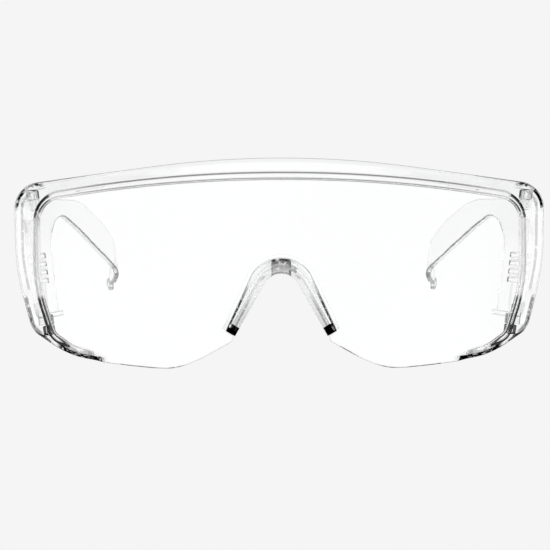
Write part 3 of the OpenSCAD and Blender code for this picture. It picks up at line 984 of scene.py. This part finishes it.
# %% The lens, finished
# LOW_END and BROW_FROM are heights, UPPER_TURN is degrees round the corner, and the depths
# count back from the face.
LOW_END = (21.5, 20)
UPPER_TURN = (5, 13, 52, 62)
BROW_FROM = (50, 53)
RIM_LINE = 0.15
BROW_LINE = 0.5
INNER_LINE = 0.35
INNER_DEPTH = (1.6, 4)
FLANGE_LINE = 0.35
FLANGE_LINE_W = 0.35
FLANGE_FROM = 70.0
FLANGE_DEPTH = 3.0
BEND_FROM = 60.0
BEND_FACES = -0.2
UPPER_LUG_LINE = 0.3
UPPER_LUG_BACK = RIM_DEPTH + 0.2
LOWER_LUG_SHADE = 0.45
LOWER_LUG_BACK = RIM_DEPTH + 0.6
LOWER_LUG_TOP = 20.0


def lens_painted_shade(at, normal):
    """How much painted shade the lens's edges and walls get at a place."""
    side = abs(at.x)
    back = at.y - face_y(min(side, HALF_W))
    if side < PLAIN_END and at.z < MID_HEIGHT:
        return plain_edge_painted_shade(at, normal)
    if back > UPPER_LUG_BACK and at.z > MID_HEIGHT:
        return UPPER_LUG_LINE, 0.0
    low = rise(at.z, *LOW_END)
    high = band(corner_angle(at), *UPPER_TURN)
    inner = INNER_LINE if INNER_DEPTH[0] < back < INNER_DEPTH[1] else 1.0
    lines = inner * (RIM_LINE + (1 - RIM_LINE) * max(low, high)
                     + BROW_LINE * rise(at.z, *BROW_FROM))
    on_lower_lug = back > LOWER_LUG_BACK and at.z < LOWER_LUG_TOP
    shades = [lower_rim_shade(at), LOWER_LUG_SHADE * on_lower_lug]
    if side > FLANGE_FROM and back > FLANGE_DEPTH:
        lines = max(lines, FLANGE_LINE * (away(at, rear_edge) < FLANGE_LINE_W))
        shades.append(flange_shade(at, low, high))
    if side > BEND_FROM and back < INNER_DEPTH[0] and normal.y < BEND_FACES:
        shades.append(bend_shade(at, low))
    return lines, max(shades)


finished(lens, "front", "lens", LENS_PLASTIC, lens_painted_shade)

# %% [markdown]
# ## The nose bridge
# The bridge is a saddle with a lip behind the lens, clipped into the nose opening. Its
# section is swept round the opening, and a square tab grips the lens at the top. The sweep is
# the same skin that made the lens. One corner of the section lies in line in the middle of
# the bridge's face, and four cuts stand where the tab shows through it, so that the painted
# shade there has faces of its own.

# %% The bridge's section
SADDLE_DEPTH = 9.0
SADDLE_FLARE = 2.2
SADDLE_WALL = 1.9
LIP_W = 1.2
LIP_WALL = 1.2
TAB_W = 5.4
TAB_H = 4.4
TAB_DEPTH = 1.1
TAB_SINK = 1.2
TAB_MARK = (-TAB_W / 2 - 0.2, -TAB_W / 2 + 0.3, TAB_W / 2 - 0.5, TAB_W / 2 + 0.2)
MARK_LOW = NOSE_TOP - 2
MARK_FACES = -0.9
OPENING_REACH = 0.4
MID_REACH = 0.35
JOINT_REACH = 0.25
LIP_REACHES = (0.1, 0.2, 0.3)
SADDLE_REACH = 0.5


def bridge_station(at, out, width):
    """Points of the bridge's section at one point of the nose opening."""
    lip, back = LENS_WALL + BRIDGE_GAP, LENS_WALL + BRIDGE_GAP + LIP_WALL
    inner = SADDLE_FLARE * back / SADDLE_DEPTH
    corners = [(0, 0, OPENING_REACH), (width / 2, 0, width * MID_REACH),
               (width, 0, JOINT_REACH), (width, lip, LIP_REACHES[0]),
               (width + LIP_W, lip, LIP_REACHES[1]), (width + LIP_W, back, LIP_REACHES[2]),
               (inner + SADDLE_WALL, back, SADDLE_REACH),
               (SADDLE_FLARE + SADDLE_WALL, SADDLE_DEPTH, SADDLE_REACH),
               (SADDLE_FLARE, SADDLE_DEPTH, SADDLE_REACH)]
    return [on_face(at + out * q.x, q.y) for q in filleted(corners, closed=True)]


right_leg = [bridge_station(*part) for part in nose_half]
bridge_bm = bmesh.new()
for loop in skin(bridge_bm, mirrored(right_leg[:0:-1]) + right_leg):
    bmesh.ops.triangle_fill(bridge_bm, use_beauty=True, edges=loop)
bridge_bm.normal_update()
for cut in TAB_MARK:
    front_faces = [face for face in bridge_bm.faces
                   if face.normal.y < MARK_FACES and face.calc_center_median().z > MARK_LOW]
    around = dict.fromkeys(item for face in front_faces
                           for item in (face, *face.edges, *face.verts))
    bmesh.ops.bisect_plane(bridge_bm, geom=list(around), dist=NEAR / 10, plane_co=(cut, 0, 0),
                           plane_no=(1, 0, 0))
bridge = as_object(bridge_bm, "nose_bridge_moulding")
print("bridge:", len(bridge.data.polygons), "faces")

# %% [markdown]
# The tab is a flat plate that starts inside the saddle's face and ends behind the lip. Its
# foot follows the saddle's arc, so that it joins the saddle all along and leaves the nose
# opening free. United with the bridge, it leaves no wall inside that would show.

# %% The tab
TAB_ARC = 28
TAB_ARC_STEP = 4
TAB_ARC_OUT = 0.3

saddle_arc = [NOSE_MID + Matrix.Rotation(math.radians(a), 2) @ Vector((0, NOSE_R + TAB_ARC_OUT))
              for a in range(TAB_ARC, -TAB_ARC - 1, -TAB_ARC_STEP)]
tab_top = NOSE_TOP - TAB_SINK + TAB_H
tab_outline = [Vector((p.x, p.y)) for p in saddle_arc]
tab_outline += [Vector((TAB_W / 2, tab_top)), Vector((-TAB_W / 2, tab_top))]
tab_back = LENS_WALL + LIP_WALL + TAB_DEPTH
tab = plate(tab_outline, 0, tab_back - LENS_WALL / 2, SMALL_EDGE)
tab_place = Matrix.Translation((0, tab_back, 0)) @ Matrix.Rotation(math.pi / 2, 4, "X")
combined(bridge, "UNION", as_object(tab, "tab", tab_place))
print("bridge with its tab:", len(bridge.data.polygons), "faces")

# %% [markdown]
# The bridge's legs end in feet painted black, with a painted black streak that rises from
# each along the outer side of the face and a greyer one inside it. The tab is painted through
# the face as a dark square, darkest at its top edge and its sides, with a painted shadow
# beside it. All of this is painted shade, in place of what the clear plastic bends and traps
# there.

# %% Painted shade of the tab
TAB_LINE = 0.3
TAB_TOP = 0.84
TAB_TOP_SHADE = 0.95
TAB_RIGHT_SHADE = 0.75
TAB_LEFT_SHADE = 0.6
TAB_SHADE = 0.45
TAB_OUTER_SHADE = 0.3
TAB_OUTER = (0.4, 0.8)
TAB_INNER_SHADE = 0.65
TAB_INNER = (0.3, 0.1)


def tab_shade(x, share):
    """Painted shade of the tab's square, from inside out: share is 0 at the opening, 1 outside.
    """
    left_rim, right_rim = TAB_MARK[1:3]
    middle = max(TAB_SHADE + TAB_OUTER_SHADE * rise(share, *TAB_OUTER),
                 TAB_INNER_SHADE * rise(share, *TAB_INNER))
    if share > TAB_TOP:
        return max(TAB_TOP_SHADE, middle)
    if x > right_rim:
        return max(TAB_RIGHT_SHADE, middle)
    return max(TAB_LEFT_SHADE, middle) if x < left_rim else middle


# %% Painted shade of the legs
# Tops are heights along the leg over its foot, in millimetres.
LEG_LINE = 0.1
LEG_LINE_MORE = 0.15
LEG_LINE_TOP = (12, 4)
# The black feet and the streaks are painted shade.
FOOT_TOP = (3.0, 2.2)
PAINTED_STREAK_TOP = (18, 8)
PAINTED_STREAK_FROM = 0.85
PAINTED_STREAK_SHADE = 0.95
PAINTED_STREAK_DEPTH = 2.0
SECOND_TOP = (15, 7)
SECOND_ACROSS = (0.34, 0.5)
SECOND_SHADE = 0.5
FACE_DEPTH = 0.4
FACE_OVER = 0.05


def leg_painted_shade(up, across, back):
    """Painted shade of a leg, from its height over the foot and its distance from the opening.
    """
    face_end = BRIDGE_FOOT_W + (BRIDGE_TOP_W - BRIDGE_FOOT_W) * up / LEG_LEN
    outside = across > face_end + FACE_OVER
    feet = 0.0 if outside else rise(up, *FOOT_TOP)
    painted_streak = PAINTED_STREAK_SHADE * rise(up, *PAINTED_STREAK_TOP)
    if outside or across < face_end * PAINTED_STREAK_FROM or back > PAINTED_STREAK_DEPTH:
        painted_streak = 0.0
    second = SECOND_SHADE * rise(up, *SECOND_TOP)
    if not SECOND_ACROSS[0] < across / face_end < SECOND_ACROSS[1] or back > FACE_DEPTH:
        second = 0.0
    return LEG_LINE + LEG_LINE_MORE * rise(up, *LEG_LINE_TOP), max(feet, painted_streak, second)


# %% The bridge, finished
FACE_FRONT = -0.8
# A painted shadow wedge beside the tab's square.
SHADOW_WEDGE_W = 1.8
SHADOW_WEDGE_ACROSS = (0.3, 0.7)
SHADOW_WEDGE_SHADE = 0.5


def bridge_painted_shade(at, normal):
    """Painted shade of the bridge at a place: its feet, its streaks, its tab and the shadow by
    it.
    """
    flat = Vector((abs(at.x), at.z))
    up, across = (foot - flat).dot(nose_down), (flat - foot).dot(nose_side)
    back = at.y - face_y(at.x)
    if up > LEG_LEN and back < FACE_DEPTH and normal.y < FACE_FRONT:
        share = ((flat - NOSE_MID).length - NOSE_R) / BRIDGE_TOP_W
        if TAB_MARK[0] < at.x < TAB_MARK[3]:
            return TAB_LINE, tab_shade(at.x, share)
        if 0 < at.x < TAB_W / 2 + SHADOW_WEDGE_W and SHADOW_WEDGE_ACROSS[0] < share < SHADOW_WEDGE_ACROSS[1]:
            return LEG_LINE, SHADOW_WEDGE_SHADE
    return leg_painted_shade(up, across, back)


finished(bridge, "front", "nose_bridge", BRIDGE_PLASTIC, bridge_painted_shade)

# %% [markdown]
# ## The temples
# A temple is one moulding: a curved side shield behind the lens, and a slender arm that
# draws in and turns out at its tip. Its side view is cut flat with its vent slots, and the
# wall is then bent along its path as seen from above. That keeps the wall even and its edges
# round, which cutting a thick block with a curve wouldn't. The left temple is its mirror
# image.

# %% The temple's outlines
TEMPLE_REACH = 163.3
TEMPLE_WALL = 2.0
SHIELD_FRONT = HINGE.y - 0.8
SHIELD_LEN = 29.3
SHIELD_BACK = SHIELD_FRONT + SHIELD_LEN
SHIELD_TOP = LUG_SPAN / 2 - 1.9
SHIELD_FOOT = 5.1 - LUG_SPAN / 2
SHIELD_OUT = 4.3
ARM_IN = 14.4
TIP_LEN = 13.3
TIP_TURN = math.tan(math.radians(17))
TIP_BEND = TEMPLE_REACH - TIP_LEN
TIP_X = TIP_LEN * TIP_TURN - ARM_IN
TIP_Z = -9.4
TIP_SPARE = 6.0

# Seen from above, corners (depth, distance out, radius): the shield, the arm and the tip.
temple_path = spaced(rounded([
    (SHIELD_FRONT - 4, SHIELD_OUT - TEMPLE_WALL / 2 + 0.6),
    (SHIELD_FRONT, SHIELD_OUT - TEMPLE_WALL / 2),
    (SHIELD_FRONT + 21, 1.7, 200), (SHIELD_FRONT + 57, -5.6, 400), (TIP_BEND, -ARM_IN, 25),
    (TEMPLE_REACH + TIP_SPARE, TIP_X + TIP_SPARE * TIP_TURN)]))

# Seen from the side, corners (depth, height, radius): up the shield's front, along the top
# of the arm, round the tip, back under the arm, and down and round the shield.
temple_side = spaced(rounded([
    (SHIELD_FRONT, 0), (SHIELD_FRONT, SHIELD_TOP, 4),
    (SHIELD_FRONT + 71.8, SHIELD_TOP, 120), (TEMPLE_REACH - 35.3, TIP_Z + 22.5, 80),
    (TEMPLE_REACH - 15.8, TIP_Z + 15.4, 20),
    (TEMPLE_REACH - 2.3, TIP_Z + 2.5, 1.4), (TEMPLE_REACH - 5.2, TIP_Z + 0.3, 1),
    (TEMPLE_REACH - 20.3, TIP_Z + 5.9, 20), (SHIELD_BACK + 10.9, SHIELD_TOP - 3.5, 20),
    (SHIELD_BACK, SHIELD_TOP - 14.4, 4), (SHIELD_BACK, SHIELD_FOOT, 3),
    (SHIELD_FRONT, SHIELD_FOOT, 5), (SHIELD_FRONT, 0)]))[:-1]
print(len(temple_side), "points round the temple,", len(temple_path), "along its path")


def path_at(y):
    """Distance from the hinge line, and direction, of the path at one depth."""
    for a, b in zip(temple_path, temple_path[1:]):
        if y <= b.x:
            break
    share = (y - a.x) / (b.x - a.x)
    return a.y + (b.y - a.y) * share, (b - a).normalized()


def bend_to_path(bm):
    """Bends a flat wall (depth, height, thickness) along the temple's path."""
    for vert in bm.verts:
        y, z, t = vert.co
        x, way = path_at(y)
        vert.co = (x + way.x * t, y - way.y * t, z)


# %% [markdown]
# The shield and the arm are one flat wall with four vent slots, bent along the path. A ledge
# stiffens the foot of the shield, and it is bent the same way.

# %% The shield, the arm and the ledge
VENTS = 4
VENT_FROM = 8.0
VENT_LEN = 13.0
VENT_R = 0.5
VENT_TOP = 2.3
VENT_PITCH = 2.6
VENT_STEPS = 8
WALL_EDGE = 0.45
LEDGE_W = 2.2
LEDGE_H = 1.6
LEDGE_FROM = SHIELD_FRONT + 4
LEDGE_TO = SHIELD_BACK - 3
LEDGE_SINK = 0.2


def slot(z):
    """A vent slot with round ends."""
    start = SHIELD_FRONT + VENT_FROM + VENT_R
    end = SHIELD_FRONT + VENT_FROM + VENT_LEN - VENT_R
    turns = [(VENT_R * math.sin(a), VENT_R * math.cos(a))
             for a in (math.pi * k / VENT_STEPS for k in range(VENT_STEPS + 1))]
    return ([Vector((end + out, z - up)) for out, up in turns]
            + [Vector((start - out, z + up)) for out, up in turns])


def box_outline(x0, y0, x1, y1):
    """The corners of a rectangle."""
    return [Vector(p) for p in ((x0, y0), (x1, y0), (x1, y1), (x0, y1))]


def strips_between(start, end):
    """Places a strip's width apart between two depths."""
    return [start + STRIP * k for k in range(1, int((end - start) / STRIP) + 1)]


def shield_and_arm():
    """The temple's wall, with its vents."""
    vents = [slot(VENT_TOP - VENT_PITCH * k) for k in range(VENTS)]
    wall = plate(temple_side, -TEMPLE_WALL / 2, TEMPLE_WALL / 2, WALL_EDGE, vents,
                 strips_between(SHIELD_FRONT, TEMPLE_REACH))
    bend_to_path(wall)
    return as_object(wall, "temple", ON_TEMPLE)


def shield_ledge():
    """The ledge along the inside of the shield's foot."""
    outline = box_outline(LEDGE_FROM, SHIELD_FOOT, LEDGE_TO, SHIELD_FOOT + LEDGE_H)
    ledge = plate(outline, -TEMPLE_WALL / 2 - LEDGE_W, LEDGE_SINK, SMALL_EDGE, (),
                  strips_between(LEDGE_FROM, LEDGE_TO))
    bend_to_path(ledge)
    return as_object(ledge, "ledge", ON_TEMPLE)


# %% [markdown]
# Two knuckles turn on the hinge pins, between the lens's lugs. Each is a barrel on the hinge
# line with a square web that joins it to the shield. A small eyelet on a neck below the tip
# takes a cord. All of these are plates united with the wall, and then the holes are cut.

# %% The knuckles, the eyelet and the whole temple
WEB_MORE = 3.0
WEB_SET = 0.05
KNUCKLE_BORE_R = 0.96
EYELET_R = 2.2
EYELET_WALL = 1.6
EYELET_EDGE = 0.35
CORD_HOLE_R = 1.05
HOLE_REACH = 2.0
NECK_HALF_W = 1.4
NECK_LEN = 6.0

AT_TIP = ON_TEMPLE @ Matrix.Translation((TIP_X, TEMPLE_REACH, TIP_Z))
AT_TIP = AT_TIP @ Matrix.Rotation(-math.atan(TIP_TURN), 4, "Z")
UPRIGHT = Matrix.Rotation(math.pi / 2, 4, "Y")
NECK_LEAN = Matrix.Rotation(math.radians(-32), 4, "X")


def knuckles():
    """The two barrels that turn on the pins, each with its web."""
    made = []
    top = LUG_SPAN / 2 - 2 * LUG_H - LUG_GAP
    web = box_outline(0, SHIELD_FRONT + WEB_SET, SHIELD_OUT - TEMPLE_WALL / 2,
                      HINGE.y + BARREL_R)
    for z, web_z in ((top, top - WEB_MORE), (-top - LUG_H, -top - LUG_H)):
        barrel = plate(round_points(BARREL_R), z, z + LUG_H, SMALL_EDGE)
        made.append(as_object(barrel, "barrel", ON_HINGE))
        web_plate = plate(web, web_z, web_z + LUG_H + WEB_MORE, SMALL_EDGE)
        made.append(as_object(web_plate, "web", ON_TEMPLE))
    return made


def eyelet_and_neck():
    """The ring that takes a cord, and the neck that joins it to the tip."""
    ring = plate(round_points(EYELET_R), -EYELET_WALL / 2, EYELET_WALL / 2, EYELET_EDGE)
    neck = plate(box_outline(-NECK_HALF_W, -NECK_LEN, NECK_HALF_W, 0), -EYELET_WALL / 2,
                 EYELET_WALL / 2, EYELET_EDGE)
    return [as_object(ring, "eyelet", AT_TIP @ UPRIGHT),
            as_object(neck, "neck", AT_TIP @ NECK_LEAN @ UPRIGHT)]


def right_temple():
    """The right temple, in the worn frame."""
    arm = shield_and_arm()
    combined(arm, "UNION", shield_ledge(), *knuckles(), *eyelet_and_neck())
    hole = plate(round_points(CORD_HOLE_R), -HOLE_REACH, HOLE_REACH, BORE_EDGE)
    combined(arm, "DIFFERENCE", as_object(hole, "hole", AT_TIP @ UPRIGHT),
             *bores(KNUCKLE_BORE_R))
    return arm


# %% [markdown]
# A temple's painted shade is faint nearly everywhere. The exceptions are a dark line under
# the arm, the tip with its eyelet, the lower knuckle, and the rear ends of the vents, all
# painted shade in place of what the clear plastic bends and traps there. The fillets that
# face partly down or partly inward carry them, so the lines stay thin.

# %% The temples, finished
WALL_LINE = 0.15
FAINT_LINE = 0.05
TIP_FROM = TEMPLE_REACH - 9
TIP_LINE = 0.4
TIP_SHADE = 0.25
TIP_FACES = -0.5
ARM_FROM = SHIELD_BACK + 4
ARM_SHADE = 0.75
ARM_FACES = (-0.93, -0.3)
KNUCKLE_TO = SHIELD_FRONT + 3
KNUCKLE_TOP = 19.0
KNUCKLE_SHADE = 0.2
STRONG_LINE = 0.5
VENT_DEPTHS = (SHIELD_FRONT + 6, SHIELD_FRONT + 23)
VENT_HEIGHTS = (20, 36)
VENT_ENDS = SHIELD_FRONT + 19.5
VENT_FACES = (-0.93, -0.25)
HINGE_SIDE = SHIELD_FRONT + 2


def temple_painted_shade(at, normal):
    """Painted shade on a temple's edges at a place: most under the arm, least round the vents.
    """
    if at.y > TIP_FROM:
        return TIP_LINE, TIP_SHADE * (normal.z < TIP_FACES)
    if at.y > ARM_FROM:
        inner_foot = ARM_FACES[0] < normal.z < ARM_FACES[1] and normal.x < 0
        return WALL_LINE, ARM_SHADE * inner_foot
    if at.y < KNUCKLE_TO and at.z < KNUCKLE_TOP:
        return STRONG_LINE, KNUCKLE_SHADE
    near_vents = (VENT_DEPTHS[0] < at.y < VENT_DEPTHS[1]
                  and VENT_HEIGHTS[0] < at.z < VENT_HEIGHTS[1])
    if near_vents and at.y > VENT_ENDS and VENT_FACES[0] < normal.x < VENT_FACES[1]:
        return STRONG_LINE, 1.0
    return FAINT_LINE if near_vents or at.y < HINGE_SIDE else WALL_LINE, 0.0


for side_name, mirror in (("right", False), ("left", True)):
    temple = right_temple()
    temple.name = f"{side_name}_temple_moulding"
    finished(temple, f"{side_name}_temple", f"{side_name}_temple",
             TEMPLE_PLASTIC, temple_painted_shade, mirror)

# %% [markdown]
# ## The pins
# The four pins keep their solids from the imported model: plain round pins, hidden in the
# barrels. They only need their plastic.

# %% Pins
for name, obj in frame["nodes"].items():
    if name.startswith("hinge_pin"):
        obj.data.materials.clear()
        obj.data.materials.append(PIN_PLASTIC)
        print(name, "is", PIN_PLASTIC.name)
